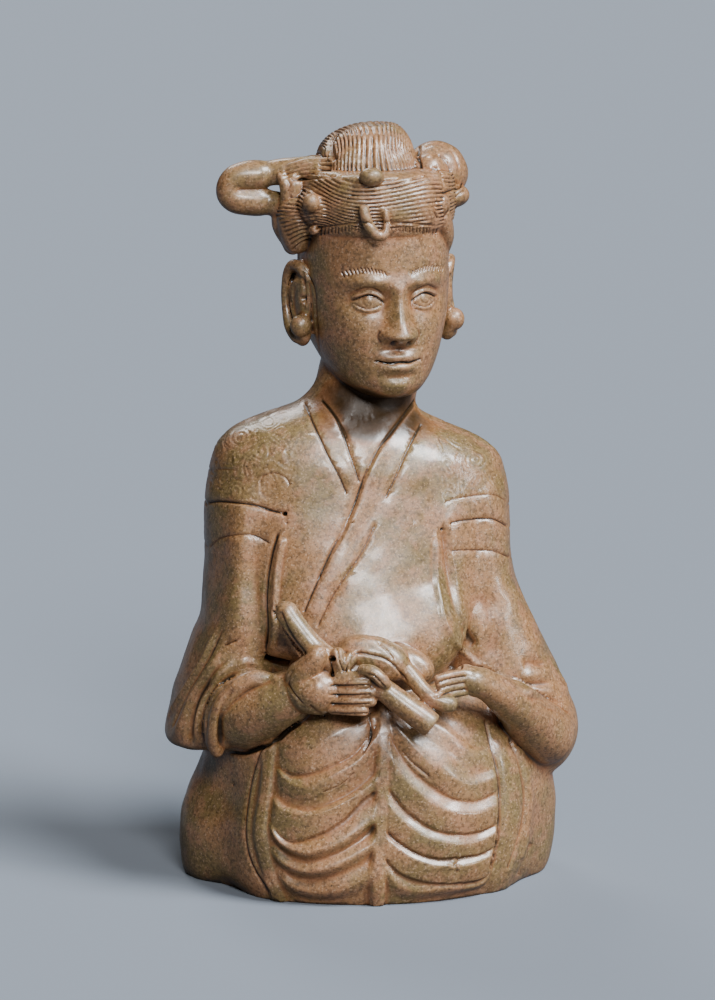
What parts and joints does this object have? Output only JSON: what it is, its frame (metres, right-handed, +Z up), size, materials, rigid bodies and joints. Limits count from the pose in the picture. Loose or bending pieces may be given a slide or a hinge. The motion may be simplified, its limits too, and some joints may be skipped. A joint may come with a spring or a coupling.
{
  "type": "seated figure",
  "caption": "Greenware figure seated on a draped block-like skirt, hands in the lap over a rolled thing, with bound hair, a side hair loop and a topknot; stands on its flat underside.",
  "frame": {"origin": "on the flat underside, under the middle of the skirt", "axes": "+Z up through the figure, -Y toward the front it faces, +X toward the figure's own left"},
  "size_m": [0.1647, 0.126, 0.3],
  "materials": {
    "greenware": "glossy olive-tan glaze, finely mottled"
  },
  "bodies": {
    "root": {"seated_figure": "greenware"}
  },
  "joints": []
}
